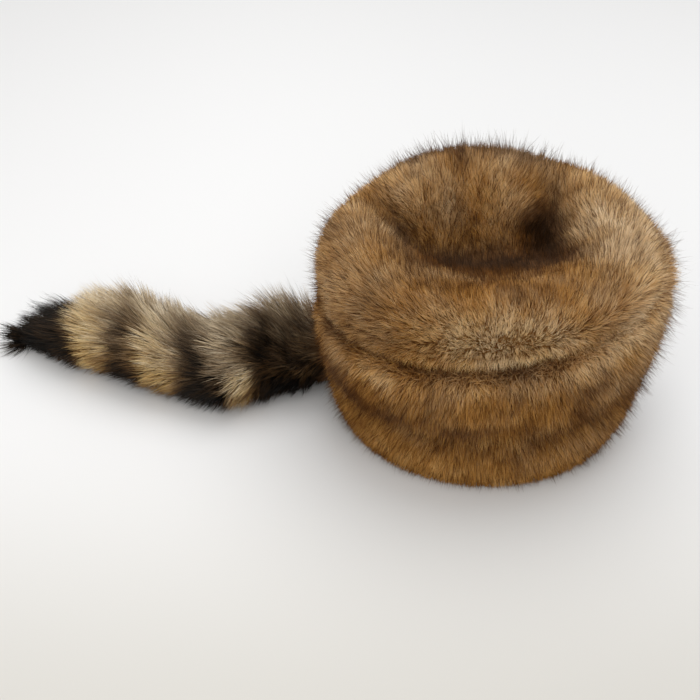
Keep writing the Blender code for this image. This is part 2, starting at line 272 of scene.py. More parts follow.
def furTree():
    tree = bpy.data.node_groups.new("growFur", "GeometryNodeTree")
    for name, kind in furInputs:
        tree.interface.new_socket(name=name, in_out="INPUT", socket_type=kind)
    tree.interface.new_socket(name="Fur", in_out="OUTPUT", socket_type="NodeSocketGeometry")
    graph = Graph(tree)
    given = graph.node("NodeGroupInput")
    seeds = iter(range(1, 40))

    def take(name):
        return given.other(name)

    def stored(name, kind="FLOAT"):
        return graph.node("GeometryNodeInputNamedAttribute", {"data_type": kind}, {"Name": name})

    def chance(low, high, kind="FLOAT"):
        seed = take("Seed") + next(seeds)
        return graph.node("FunctionNodeRandomValue", {"data_type": kind},
                          {"Min": low, "Max": high, "Seed": seed})

    def spread(name):
        return chance(-blade[name], blade[name])

    # Roots
    roots = graph.node(
        "GeometryNodeDistributePointsOnFaces", {"distribute_method": "RANDOM"},
        {"Mesh": take("Pelt"), "Density": take("Hairs per Square Metre"), "Seed": take("Seed")})
    place = graph.node("GeometryNodeInputPosition")
    normal = roots.other("Normal")

    # The comb, turned by slow swirls and by each hair's own stray, which is more for guard hairs
    guard = chance(0.0, 1.0) < take("Guard Share")
    swirl = graph.node("ShaderNodeTexNoise", {"noise_dimensions": "3D"},
                       {"Vector": place, "Scale": 1 / take("Swirl Size"), "Detail": 1.0})
    swirl = (swirl.other("Color") - (0.5, 0.5, 0.5)) * take("Swirl")
    stray = chance((-1.0, -1.0, -1.0), (1.0, 1.0, 1.0), "FLOAT_VECTOR") * take("Stray") * (1 + guard)
    comb = stored("comb", "FLOAT_VECTOR") + swirl + stray
    comb = graph.arrow("NORMALIZE", comb - normal * graph.arrow("DOT_PRODUCT", comb, normal))
    across = graph.arrow("CROSS_PRODUCT", normal, comb)

    # Tufts: each hair leans to the middle of its cell
    cell = graph.node("ShaderNodeTexVoronoi", {"voronoi_dimensions": "3D", "feature": "F1"},
                      {"Vector": place, "Scale": 1 / take("Tuft Size")})
    pull = cell.other("Position") - place
    pull = (pull - normal * graph.arrow("DOT_PRODUCT", pull, normal)) * take("Tuft Pull")
    pull = pull * stored("clump")
    tuftChance = graph.node("ShaderNodeSeparateXYZ", None, {0: cell.other("Color")})
    tuftShade = (tuftChance - 0.5) * take("Tuft Shade")
    tuftRise = (tuftChance.other("Y") - 0.5) * take("Unevenness")

    # Guard hairs are longer, stand up more and have another shade
    length = take("Length") * stored("length") * chance(*blade["lengthSpread"])
    length = length * (1 + guard * (take("Guard Length") - 1) * chance(*blade["guardSpread"]))
    rise = take("Rise") + tuftRise + spread("angleSpread") + guard * take("Guard Rise")
    lay = take("Lay") + tuftRise + spread("angleSpread") + guard * take("Guard Rise")
    shade = stored("shade") + tuftShade + chance(-1.0, 1.0) * take("Hair Shade")
    shade = graph.maths("MINIMUM", graph.maths("MAXIMUM", shade, 0.0), 1.0)
    shade = shade * (1 + guard * (take("Guard Shade") - 1))
    hue = stored("hue") + spread("hueSpread")
    hue = graph.maths("MINIMUM", graph.maths("MAXIMUM", hue, 0.0), 0.999)
    hue = graph.maths("FLOOR", hue * hueRows)

    def lean(angle):
        return comb * graph.maths("COSINE", angle) + normal * graph.maths("SINE", angle)

    start = lean(rise)
    end = lean(lay)
    roll = spread("rollSpread")
    flat = graph.arrow("CROSS_PRODUCT", across, start)
    aside = across * graph.maths("COSINE", roll) + flat * graph.maths("SINE", roll)
    aside = aside * take("Width") * chance(*blade["widthSpread"]) * (1 - guard * blade["guardThinner"])
    arrows = {"root": place, "start": start * length, "end": end * length,
              "pull": pull * (1 - guard), "aside": aside}
    marks = {"shade": shade, "hue": hue}
    captures = [(name, "VECTOR") for name in arrows] + [(name, "FLOAT") for name in marks]
    held = graph.node("GeometryNodeCaptureAttribute", {"captures": captures, "domain": "POINT"},
                      {"Geometry": roots, **arrows, **marks})

    # The blade: one grid strip, narrowed to its tip
    strip = graph.node("GeometryNodeMeshGrid", None,
                       {"Size X": 1.0, "Size Y": 1.0, "Vertices X": 2, "Vertices Y": take("Bends") + 1})
    spot = graph.node("ShaderNodeSeparateXYZ", None, {0: graph.node("GeometryNodeInputPosition")})
    along = spot.other("Y") + 0.5
    narrow = spot.other("X") * (1 - along * along)
    tapered = graph.node("ShaderNodeCombineXYZ", None, {"X": narrow, "Y": along})
    strip = graph.node("GeometryNodeSetPosition", None, {"Geometry": strip, "Position": tapered})
    strip = graph.node("GeometryNodeMergeByDistance", None, {"Geometry": strip, "Distance": 0.001})
    spot = graph.node("ShaderNodeSeparateXYZ", None, {0: graph.node("GeometryNodeInputPosition")})
    for name, value in (("across", spot.other("X")), ("along", spot.other("Y"))):
        strip = graph.node("GeometryNodeStoreNamedAttribute", {"data_type": "FLOAT", "domain": "POINT"},
                           {"Geometry": strip, "Name": name, "Value": value})
    hair = graph.node("GeometryNodeInstanceOnPoints", None, {"Points": held, "Instance": strip})
    hair = graph.node("GeometryNodeRealizeInstances", None, {"Geometry": hair})

    # Its shape, from its root
    along = stored("along")
    late = along * along * 0.5
    bent = (held.other("root") + held.other("start") * (along - late) + held.other("end") * late
            + held.other("pull") * along * along + held.other("aside") * stored("across"))
    spot = graph.node("ShaderNodeSeparateXYZ", None, {0: bent})
    kept = graph.node("ShaderNodeCombineXYZ", None,
                      {"X": spot, "Y": spot.other("Y"),
                       "Z": graph.maths("MAXIMUM", spot.other("Z"), blade["floorGap"])})
    hair = graph.node("GeometryNodeSetPosition", None, {"Geometry": hair, "Position": kept})

    # Its colours: marks for the material, and a map with shade across and the hue's rows up
    for name in ("shade", "hue"):
        hair = graph.node("GeometryNodeStoreNamedAttribute", {"data_type": "FLOAT", "domain": "POINT"},
                          {"Geometry": hair, "Name": name, "Value": held.other(name)})
    mapX = (held.other("shade") * blade["mapShade"] + stored("across") * blade["mapAcross"]
            + blade["mapStart"][0])
    mapY = (held.other("hue") + along * blade["mapAlong"] + blade["mapStart"][1]) / hueRows
    spot = graph.node("ShaderNodeCombineXYZ", None, {"X": mapX, "Y": mapY})
    hair = graph.node("GeometryNodeStoreNamedAttribute", {"data_type": "FLOAT2", "domain": "CORNER"},
                      {"Geometry": hair, "Name": "OFBake", "Value": spot})
    hair = graph.node("GeometryNodeSetShadeSmooth", None, {"Geometry": hair})
    hair = graph.node("GeometryNodeRealizeInstances", None, {"Geometry": hair})
    hair = graph.node("GeometryNodeSetMaterial", None,
                      {"Geometry": hair, "Material": take("Hair Material")})
    graph.node("NodeGroupOutput", None, {"Fur": hair})
    return tree


# Materials

def principled(name):
    material = bpy.data.materials.new(name)
    material.use_nodes = True
    graph = Graph(material.node_tree)
    shader = material.node_tree.nodes["Principled BSDF"]
    return material, graph, shader


# Colours along a hair, by its marks: shade, hue, and along from root to tip
def hairMaterial(name, look):
    material, graph, shader = principled(name)

    def mark(attribute):
        return graph.node("ShaderNodeAttribute", {"attribute_name": attribute}, None, "Fac")

    shade = mark("shade")
    along = mark("along")
    warm = mark("hue") / (hueRows - 1)
    golden = graph.node("ShaderNodeValToRGB", {"stops": look["golden"]}, {0: shade})
    grey = graph.node("ShaderNodeValToRGB", {"stops": look["grey"]}, {0: shade})
    body = graph.blend(warm, grey, golden)
    deep = graph.arrow("MULTIPLY", body, look["root"])
    colour = graph.blend(graph.fade(along, *look["rootFade"]), deep, body)
    colour = graph.blend(graph.fade(along, *look["tipFade"]) * look["tipShare"], colour, look["tip"])
    graph.feed(shader.inputs["Base Color"], colour)
    shader.inputs["Roughness"].default_value = look["roughness"]
    shader.inputs["Specular IOR Level"].default_value = look["gloss"]
    return material


# Dense wool under the hair, seen only between the hairs
def underfurMaterial(name, look):
    material, graph, shader = principled(name)
    coordinates = graph.node("ShaderNodeTexCoord", None, None, "Object")
    wool = graph.node("ShaderNodeTexNoise", None,
                      {"Vector": coordinates, "Scale": 1 / look["woolSize"], "Detail": 5.0})
    # The coat's shade mark, with its painted shade and highlights
    shade = graph.node("ShaderNodeAttribute", {"attribute_name": "shade"}, None, "Fac")
    colour = graph.node("ShaderNodeValToRGB", {"stops": look["underfur"]},
                        {0: shade + (wool - 0.5) * look["woolContrast"]})
    graph.feed(shader.inputs["Base Color"], colour)
    bump = graph.node("ShaderNodeBump", None,
                      {"Strength": look["woolBump"], "Distance": look["woolSize"], "Height": wool})
    graph.feed(shader.inputs["Normal"], bump)
    shader.inputs["Roughness"].default_value = look["woolRoughness"]
    shader.inputs["Specular IOR Level"].default_value = look["woolGloss"]
    return material


# The flesh side of the pelt, a pale suede
def hideMaterial(look):
    material, graph, shader = principled("hide")
    coordinates = graph.node("ShaderNodeTexCoord", None, None, "Object")
    nap = graph.node("ShaderNodeTexNoise", None,
                     {"Vector": coordinates, "Scale": 1 / look["napSize"], "Detail": 6.0})
    patches = graph.node("ShaderNodeTexNoise", None,
                         {"Vector": coordinates, "Scale": 1 / look["patchSize"], "Detail": 2.0})
    colour = graph.node("ShaderNodeValToRGB", {"stops": look["suede"]},
                        {0: patches * look["patchShare"] + nap * (1 - look["patchShare"])})
    graph.feed(shader.inputs["Base Color"], colour)
    bump = graph.node("ShaderNodeBump", None,
                      {"Strength": look["napBump"], "Distance": look["napSize"] / 2, "Height": nap})
    graph.feed(shader.inputs["Normal"], bump)
    shader.inputs["Roughness"].default_value = look["roughness"]
    shader.inputs["Specular IOR Level"].default_value = look["gloss"]
    return material


# Pelts: rings of roots joined into a coat, and the skin under it

# Joins rings of roots by quads, and the first ring to a pole where one is given
def coatMesh(rings, pole=None):
    mesh = bmesh.new()
    layers = {name: mesh.verts.layers.float.new(name) for name in ("length", "shade", "hue", "clump")}
    layers["comb"] = mesh.verts.layers.float_vector.new("comb")

    def corner(root):
        vertex = mesh.verts.new(root.place)
        for name, layer in layers.items():
            vertex[layer] = getattr(root, name)
        return vertex

    rows = [[corner(root) for root in ring] for ring in rings]
    count = len(rows[0])
    for upper, lower in zip(rows, rows[1:]):
        for k in range(count):
            side = (k + 1) % count
            mesh.faces.new((upper[side], upper[k], lower[k], lower[side]))
    if pole:
        tip = corner(pole)
        for k in range(count):
            mesh.faces.new((rows[0][k], rows[0][(k + 1) % count], tip))
    bmesh.ops.recalc_face_normals(mesh, faces=list(mesh.faces))
    return mesh, rows


# Moves the coat's face in to where its hair grows, its seam ring straight towards the cap's middle
def sinkSkin(mesh, depth, seamRing=()):
    mesh.normal_update()
    ring = set(seamRing)
    moves = []
    for vertex in mesh.verts:
        inwards = -vertex.normal
        if vertex in ring:
            inwards = Vector((capMiddle - vertex.co.x, -vertex.co.y, 0)).normalized()
        moves.append((vertex, inwards * depth))
    for vertex, move in moves:
        vertex.co += move
        vertex.co.z = max(vertex.co.z, 0.0)


# The points of the wall's inner face that lie under a ring of the outer one
def partners(ring, added):
    for vertex in ring:
        for edge in vertex.link_edges:
            if edge.other_vert(vertex) in added:
                yield edge.other_vert(vertex)


# Gives the skin its wall, inwards, with the hide's material there
def addWall(mesh, wall, levelled):
    outer = set(mesh.verts)
    coat = set(mesh.faces)
    mesh.normal_update()
    bmesh.ops.solidify(mesh, geom=list(mesh.faces), thickness=wall)
    added = set(mesh.verts) - outer
    for ring, level in levelled:
        for vertex in partners(ring, added):
            vertex.co.z = level(vertex.co.x)
    for face in mesh.faces:
        face.material_index = 0 if face in coat else 1


def makeObject(name, mesh, materials):
    data = bpy.data.meshes.new(name)
    mesh.to_mesh(data)
    data.shade_smooth()
    for material in materials:
        data.materials.append(material)
    piece = bpy.data.objects.new(name, data)
    bpy.context.scene.collection.objects.link(piece)
    return piece


growFur = furTree()


# Runs the tree on a coat and keeps the hair as a plain mesh
def grow(name, mesh, look, count, seed, material):
    host = makeObject(name + "_roots", mesh, [])
    area = sum(face.area for face in host.data.polygons)
    values = {"Hairs per Square Metre": count / area, "Seed": seed, "Hair Material": material,
              **{key: value for key, value in look.items() if key in dict(furInputs)}}
    modifier = host.modifiers.new("growFur", "NODES")
    modifier.node_group = growFur
    for item in growFur.interface.items_tree:
        if item.in_out == "INPUT" and item.name in values:
            modifier[item.identifier] = values[item.name]
    depsgraph = bpy.context.evaluated_depsgraph_get()
    data = bpy.data.meshes.new_from_object(host.evaluated_get(depsgraph),
                                           preserve_all_data_layers=True, depsgraph=depsgraph)
    data.name = name
    bpy.data.objects.remove(host)
    piece = bpy.data.objects.new(name, data)
    bpy.context.scene.collection.objects.link(piece)
    print("Grew", name, len(data.polygons), "faces", flush=True)
    return piece


def keepFaces(mesh, wanted):
    part = mesh.copy()
    part.faces.ensure_lookup_table()
    gone = [face for face in part.faces if not wanted(face.calc_center_median())]
    bmesh.ops.delete(part, geom=gone, context="FACES")
    return part


# A finished piece rides with the body, and stands for its solid
def standFor(piece, node):
    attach(piece, "root")
    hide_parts(node)
    print("Made", piece.name, "for", node, flush=True)


# Band

# Up runs from the hem, 0, to the seam, 1, and turns are degrees from the front of the head
BandRow = namedtuple("BandRow", "up standOut")
BandFold = namedtuple("BandFold", "turn up halfTurn halfUp push")
band = dict(
    rows=(
        BandRow(0.00, 0.00), BandRow(0.12, 0.22), BandRow(0.30, 0.46), BandRow(0.48, 0.64),
        BandRow(0.64, 0.86), BandRow(0.80, 1.04), BandRow(0.92, 1.02), BandRow(0.97, 0.86),
        BandRow(1.00, 0.4375),
    ),
    folds=(
        BandFold(-90, 0.47, 60, 0.07, -0.50), BandFold(-95, 0.70, 55, 0.11, 0.20),
        BandFold(-20, 0.55, 55, 0.40, 0.30), BandFold(-132, 0.40, 20, 0.12, -0.20),
        BandFold(-60, 0.28, 26, 0.12, 0.16), BandFold(35, 0.50, 40, 0.09, -0.30),
        BandFold(85, 0.36, 34, 0.12, 0.20), BandFold(122, 0.58, 26, 0.08, -0.30),
    ),
    # Dark and light places of the coat, mostly its own tones, with painted shade where the band
    # turns away at its left and right edges: push above nothing is lighter
    shades=(
        BandFold(-100, 0.56, 20, 0.07, -0.20), BandFold(-137, 0.58, 18, 0.11, -0.38),
        BandFold(-157, 0.76, 14, 0.13, -0.30), BandFold(-64, 0.62, 8, 0.10, -0.16),
        BandFold(-30, 0.44, 34, 0.30, -0.09), BandFold(-85, 0.82, 5, 0.06, -0.10),
        BandFold(-60, 0.77, 11, 0.08, -0.18), BandFold(-42, 0.95, 18, 0.10, 0.22),
        BandFold(-143, 0.89, 17, 0.08, 0.20),
        BandFold(-84, 0.60, 6, 0.07, -0.10), BandFold(-100, 0.90, 50, 0.06, 0.10),
        BandFold(-28, 0.88, 32, 0.14, 0.09), BandFold(-85, 0.18, 40, 0.16, 0.03),
        # Painted shade at the band's right edge (turn 4) and left edge (turn -174)
        BandFold(90, 0.50, 60, 0.12, -0.14), BandFold(4, 0.42, 24, 0.45, -0.16),
        BandFold(-174, 0.50, 13, 0.50, -0.16),
        BandFold(-42, 0.78, 12, 0.08, 0.10), BandFold(-134, 0.28, 24, 0.16, 0.04),
    ),
    foldFade=0.17,                       # the folds die out over this share at hem and seam
    fillStart=0.9, combStep=0.02, combFade=(0.84, 0.96),
    shade=0.50, lowShade=-0.06, shadeMottles=(Mottle(0.022, 0.16, 1), Mottle(0.009, 0.12, 2)),
    # Painted shade in the furrow under the seam
    seamShade=-0.13, coverShade=0.35, fringeShade=-0.12, seamShadeUp=(0.93, 1.0),
    hue=0.60, lowHue=0.4, coverHue=-0.3, hueMottles=(Mottle(0.026, 0.42, 3),),
    coverLength=0.22, coverLengthUp=(0.2, 0.7), hemLength=-0.45, hemLengthUp=0.3,
    sectors=120, rings=20, backRounds=6,
    hairs=62000,                         # on each of its two halves
)
capFur = {
    "Length": 0.0104, "Width": 0.00046, "Bends": 2, "Rise": 1.25, "Lay": 0.75, "Unevenness": 0.6,
    "Swirl": 1.1, "Swirl Size": 0.024, "Stray": 0.36, "Tuft Size": 0.005, "Tuft Pull": 0.25,
    "Tuft Shade": 0.13, "Hair Shade": 0.09, "Guard Share": 0.105, "Guard Length": 1.8,
    "Guard Rise": 0.12, "Guard Shade": 0.22,
}
capColours = dict(
    golden=((0.0, (0.035, 0.013, 0.003)), (0.25, (0.20, 0.075, 0.015)),
            (0.5, (0.57, 0.285, 0.072)), (0.75, (0.79, 0.51, 0.20)), (1.0, (0.92, 0.71, 0.40))),
    grey=((0.0, (0.035, 0.020, 0.012)), (0.25, (0.20, 0.11, 0.055)),
          (0.5, (0.57, 0.38, 0.20)), (0.75, (0.80, 0.60, 0.37)), (1.0, (0.92, 0.76, 0.54))),
    root=(0.55, 0.45, 0.35), rootFade=(0.0, 0.45),      # root is a share of the hair's own colour
    tip=(0.16, 0.08, 0.03), tipFade=(0.8, 1.0), tipShare=0.1,
    roughness=0.6, gloss=0.08,
    underfur=((0.0, (0.02, 0.009, 0.003)), (0.5, (0.14, 0.06, 0.018)), (1.0, (0.32, 0.17, 0.06))),
    woolSize=0.0012, woolContrast=0.5, woolBump=0.8, woolRoughness=0.95, woolGloss=0.1,
)
hideColours = dict(
    suede=((0.2, (0.42, 0.30, 0.19)), (0.8, (0.60, 0.46, 0.31))),
    napSize=0.0008, napBump=0.5, patchSize=0.03, patchShare=0.7,
    roughness=0.9, gloss=0.2,
)


def seamLevel(x):
    return cap["seamHeight"] + cap["seamSlope"] * (x - capMiddle)


def foldPush(folds, angle, up):
    push = 0.0
    for fold in folds:
        roundShare = turnBetween(math.degrees(angle), fold.turn) / fold.halfTurn
        upShare = (up - fold.up) / fold.halfUp
        push += fold.push * math.exp(-roundShare ** 2 - upShare ** 2)
    return push


def bandStandOut(angle, up):
    fade = cap["foldShare"] * min(1.0, up / band["foldFade"], (1 - up) / band["foldFade"])
    share = readTable(band["rows"], "standOut", up) + fade * foldPush(band["folds"], angle, up)
    return cap["bandFlare"] * share


def seamCover(angle):
    return plateau(angle, cap["coverTurn"], cap["coverHalf"])


def seamFringe(angle):
    return plateau(angle, cap["fringeTurn"], cap["fringeHalf"])


# How far the pelts stand out at the seam, where the coat isn't parted as deeply as the solids
def seamFill(angle, nearSeam):
    share = cap["plainFill"] * (1 - seamFringe(angle)) + cap["coverFill"] * seamCover(angle)
    return cap["seamFill"] * clamp(share) * nearSeam


# Painted shade in the seam's furrow: less where the coat covers the furrow, more on the fringe's side
def seamShade(look, angle):
    return (look["seamShade"] + look["coverShade"] * seamCover(angle)
            + look["fringeShade"] * seamFringe(angle))


def bandPoint(angle, up):
    standOut = bandStandOut(angle, up) + seamFill(angle, ramp(up, band["fillStart"], 1.0))
    x = capMiddle + (hemLong + standOut) * math.cos(angle)
    y = (hemWide + standOut) * math.sin(angle)
    return Vector((x, y, up * (seamLevel(x) - cap["seamGap"] / 2)))


# Where the band's back is at a place, closed in on in a few rounds
def bandBack(y, z):
    x = capMiddle - hemLong
    for _ in range(band["backRounds"]):
        angle = math.atan2(y / hemWide, (x - capMiddle) / hemLong)
        standOut = bandStandOut(angle, z / seamLevel(x))
        share = y / (hemWide + standOut)
        x = capMiddle - (hemLong + standOut) * math.sqrt(1 - share ** 2)
    return x


def bandRoot(angle, up):
    spot = bandPoint(angle, up)
    cover = seamCover(angle)
    below = bandPoint(angle, up - band["combStep"])
    above = bandPoint(angle, up + band["combStep"])
    comb = (below - above).normalized() * (1 - ramp(up, *band["combFade"]))

    shade = band["shade"] + band["lowShade"] * (1 - up) + mottled(spot, band["shadeMottles"])
    # Its tones, with painted shade at its edges
    shade += foldPush(band["shades"], angle, up)
    # Painted shade in the furrow at the seam
    shade += seamShade(band, angle) * ramp(up, *band["seamShadeUp"])
    hue = band["hue"] + band["lowHue"] * (1 - up) + band["coverHue"] * cover
    hue += mottled(spot, band["hueMottles"])
    length = 1 + band["coverLength"] * cover * ramp(up, *band["coverLengthUp"])
    length += band["hemLength"] * (1 - ramp(up, 0.0, band["hemLengthUp"]))
    return Root(spot, comb, length, clamp(shade), clamp(hue), 1.0)


def makeBand(skinMaterials, hairMaterials):
    rings = []
    for k in range(band["rings"] + 1):
        up = 1 - k / band["rings"]
        rings.append([bandRoot(turn, up) for turn in evenTurns(band["sectors"])])
    mesh, rows = coatMesh(rings)
    sinkSkin(mesh, cap["skinDepth"], rows[0])
    for name, seed, side in (("band_fur_front", 21, -1), ("band_fur_back", 22, 1)):
        part = keepFaces(mesh, lambda spot: spot.y * side >= 0)
        piece = grow(name, part, capFur, band["hairs"], seed, hairMaterials)
        standFor(piece, "band")
    addWall(mesh, cap["pelt"] - cap["skinDepth"],
            ((rows[0], lambda x: seamLevel(x) - cap["seamGap"] / 2), (rows[-1], lambda x: 0.0)))
    standFor(makeObject("band_pelt", mesh, skinMaterials), "band")


# Crown

# Way runs from the middle, 0, to the seam, 1, and x and y are shares of the seam's half length
CrownRow = namedtuple("CrownRow", "way reach rise")
CrownDent = namedtuple("CrownDent", "x y halfLong halfAcross turn push")
CrownTuck = namedtuple("CrownTuck", "turn halfTurn depth")
crown = dict(
    rows=(
        CrownRow(0.00, 0.00, 0.72), CrownRow(0.16, 0.22, 0.76), CrownRow(0.30, 0.44, 0.88),
        CrownRow(0.42, 0.61, 0.97), CrownRow(0.53, 0.76, 1.00), CrownRow(0.64, 0.90, 0.92),
        CrownRow(0.75, 1.01, 0.73), CrownRow(0.85, 1.07, 0.49), CrownRow(0.93, 1.07, 0.24),
        CrownRow(0.97, 1.05, 0.10), CrownRow(1.00, 1.00, 0.00),
    ),
    dents=(
        CrownDent(-0.04, 0.02, 0.60, 0.25, 3, -0.46), CrownDent(0.44, 0.14, 0.20, 0.46, 0, -0.52),
        CrownDent(-0.60, 0.16, 0.32, 0.13, -48, -0.30), CrownDent(-0.10, 0.54, 0.42, 0.26, 0, 0.20),
        CrownDent(0.00, -0.80, 0.70, 0.22, 0, 0.14), CrownDent(0.86, 0.20, 0.16, 0.50, 0, -0.08),
        CrownDent(-0.66, 0.56, 0.30, 0.14, 40, -0.08), CrownDent(0.52, -0.66, 0.30, 0.14, 38, -0.10),
        CrownDent(0.00, -0.50, 0.60, 0.32, 0, -0.24),
    ),
    # Dark and light places of the coat: its own tones and tufts, with painted shade and a painted
    # highlight
    shades=(
        # Darker fur with painted shade in the trough and the pit, and on the trough's near slope
        CrownDent(-0.10, -0.18, 0.52, 0.30, -4, -0.70), CrownDent(0.36, 0.09, 0.17, 0.38, 0, -0.60),
        CrownDent(-0.12, -0.66, 0.44, 0.12, 0, -0.29), CrownDent(0.64, 0.02, 0.12, 0.26, 0, 0.09),
        CrownDent(-0.72, -0.50, 0.25, 0.20, 0, -0.05), CrownDent(0.53, -0.60, 0.20, 0.20, 0, -0.05),
        # Painted shade along the back rim and the left edge
        CrownDent(-0.10, 0.78, 0.85, 0.17, 0, -0.50), CrownDent(-0.98, 0.00, 0.12, 0.70, 0, -0.18),
        CrownDent(-1.00, -0.36, 0.12, 0.20, 0, 0.07), CrownDent(-0.12, 0.54, 0.25, 0.09, 0, -0.10),
        CrownDent(0.00, -0.74, 0.50, 0.14, 0, -0.12), CrownDent(0.32, 0.25, 0.17, 0.14, 0, -0.11),
        # Painted shade in the left crease
        CrownDent(-0.58, 0.22, 0.28, 0.07, -48, -0.15), CrownDent(0.72, -0.05, 0.22, 0.60, 0, 0.12),
        # A painted highlight on the fringe over the front seam
        CrownDent(0.00, -0.98, 0.55, 0.08, 0, 0.50), CrownDent(-0.85, -0.20, 0.20, 0.35, 0, 0.02),
        CrownDent(-0.17, 0.62, 0.06, 0.10, 0, -0.24), CrownDent(0.61, 0.75, 0.08, 0.10, 0, -0.20),
        CrownDent(0.82, 0.27, 0.10, 0.12, 0, -0.15), CrownDent(-0.71, 0.41, 0.10, 0.08, 0, -0.15),
        CrownDent(0.65, -0.62, 0.06, 0.16, 0, -0.12), CrownDent(0.29, -0.79, 0.12, 0.08, 0, -0.08),
        CrownDent(-0.13, -0.90, 0.14, 0.06, 0, -0.08), CrownDent(-0.76, -0.62, 0.10, 0.12, 0, -0.08),
    ),
    hues=(
        CrownDent(0.75, -0.10, 0.30, 0.60, 0, -0.35), CrownDent(-0.85, -0.10, 0.22, 0.40, 0, -0.15),
        CrownDent(0.00, 0.80, 0.80, 0.20, 0, -0.30), CrownDent(0.00, -0.60, 0.55, 0.40, 0, 0.26),
        CrownDent(0.20, 0.00, 0.40, 0.40, 0, 0.20),
    ),
    shorts=(
        CrownDent(0.00, -0.40, 0.50, 0.26, 0, -0.30), CrownDent(0.10, 0.00, 0.50, 0.25, 0, -0.20),
        CrownDent(-0.25, 0.85, 0.70, 0.16, 0, 0.40),
    ),
    tucks=(CrownTuck(4, 34, 0.0085),),       # where the bulge is drawn in
    tuckWay=(0.4, 0.8), tuckFade=0.07, dentFade=0.33, fillStart=0.94,
    whorl=(0.30, -1.35, 0.0),                # the coat fans out from here
    fanSlope=1.2,                            # it rises in front and falls behind
    combStep=0.02, hemStart=0.93, hemComb=0.3,
    shade=0.66, shadeMottles=(Mottle(0.022, 0.14, 4), Mottle(0.009, 0.12, 5)),
    # Painted shade in the furrow over the seam
    seamShade=-0.15, coverShade=0.45, fringeShade=-0.15, seamShadeWay=(0.94, 0.99),
    hue=0.50, hueMottles=(Mottle(0.026, 0.42, 6),),
    frontLength=-0.15, frontX=(0.5, 1.0),
    lowLength=-0.15, coverLength=0.2, lowWay=(0.85, 0.95),
    fringeClump=1.5, clumpWay=(0.9, 0.07), clumpHalf=30,
    sectors=120, rings=26,
    hairs=128000,                            # on both halves together
)


def dentPush(dents, x, y):
    push = 0.0
    for dent in dents:
        turn = math.radians(dent.turn)
        dx = x / seamLong - dent.x
        dy = y / seamLong - dent.y
        along = (dx * math.cos(turn) + dy * math.sin(turn)) / dent.halfLong
        across = (dy * math.cos(turn) - dx * math.sin(turn)) / dent.halfAcross
        push += dent.push * math.exp(-along ** 2 - across ** 2)
    return push


def crownPoint(angle, way):
    reach = readTable(crown["rows"], "reach", way)
    fill = seamFill(angle, ramp(way, crown["fillStart"], 1.0))
    for tuck in crown["tucks"]:
        near = bell(turnBetween(math.degrees(angle), tuck.turn), 0.0, tuck.halfTurn)
        fill -= tuck.depth * near * ramp(way, *crown["tuckWay"]) * clamp((1 - way) / crown["tuckFade"])
    x = (seamLong * reach + fill) * math.cos(angle)
    y = (seamWide * reach + fill) * math.sin(angle)
    fade = min(1.0, (1 - way) / crown["dentFade"])
    rise = readTable(crown["rows"], "rise", way) + fade * dentPush(crown["dents"], x, y)
    seam = seamLevel(capMiddle + x) + cap["seamGap"] / 2
    return Vector((capMiddle + x, y, seam + rise * (cap["crestHeight"] - seam)))


def crownRoot(angle, way):
    spot = crownPoint(angle, way)
    x = spot.x - capMiddle
    cover = seamCover(angle)

    # Combed in a fan, and straight down at the seam
    step = crown["combStep"]
    outwards = crownPoint(angle, min(way + step, 1.0)) - crownPoint(angle, max(way - step, 0.0))
    fan = Vector((x, spot.y, -crown["fanSlope"] * spot.y)) - Vector(crown["whorl"]) * seamLong
    hem = ramp(way, crown["hemStart"], 1.0)
    down = hem * (crown["hemComb"] + (1 - crown["hemComb"]) * max(cover, seamFringe(angle)))
    comb = fan.normalized() * (1 - hem) + outwards.normalized() * down

    # Its tones, with painted shade in the hollows and at the rims and a painted highlight on the fringe
    shade = crown["shade"] + mottled(spot, crown["shadeMottles"]) + dentPush(crown["shades"], x, spot.y)
    # Painted shade in the furrow at the seam
    shade += seamShade(crown, angle) * ramp(way, *crown["seamShadeWay"])
    hue = crown["hue"] + mottled(spot, crown["hueMottles"]) + dentPush(crown["hues"], x, spot.y)
    low = ramp(way, *crown["lowWay"])
    length = 1 + crown["frontLength"] * ramp(x / seamLong, *crown["frontX"]) * (1 - low)
    length += low * (crown["lowLength"] + crown["coverLength"] * cover)
    length += dentPush(crown["shorts"], x, spot.y)
    inFront = bell(turnBetween(math.degrees(angle), cap["fringeTurn"]), 0.0, crown["clumpHalf"])
    clump = 1 + crown["fringeClump"] * bell(way, *crown["clumpWay"]) * inFront
    return Root(spot, comb, length, clamp(shade), clamp(hue), clump)


def makeCrown(skinMaterials, hairMaterials):
    rings = []
    for k in range(1, crown["rings"] + 1):
        way = k / crown["rings"]
        rings.append([crownRoot(turn, way) for turn in evenTurns(crown["sectors"])])
    mesh, rows = coatMesh(rings, crownRoot(0.0, 0.0))
    sinkSkin(mesh, cap["skinDepth"], rows[-1])
    for name, seed, side in (("crown_fur_front", 31, -1), ("crown_fur_back", 32, 1)):
        part = keepFaces(mesh, lambda spot: spot.y * side >= 0)
        piece = grow(name, part, capFur, crown["hairs"] // 2, seed, hairMaterials)
        standFor(piece, "crown")
    addWall(mesh, cap["pelt"] - cap["skinDepth"],
            ((rows[-1], lambda x: seamLevel(x) + cap["seamGap"] / 2),))
    standFor(makeObject("crown_pelt", mesh, skinMaterials), "crown")


# Tail

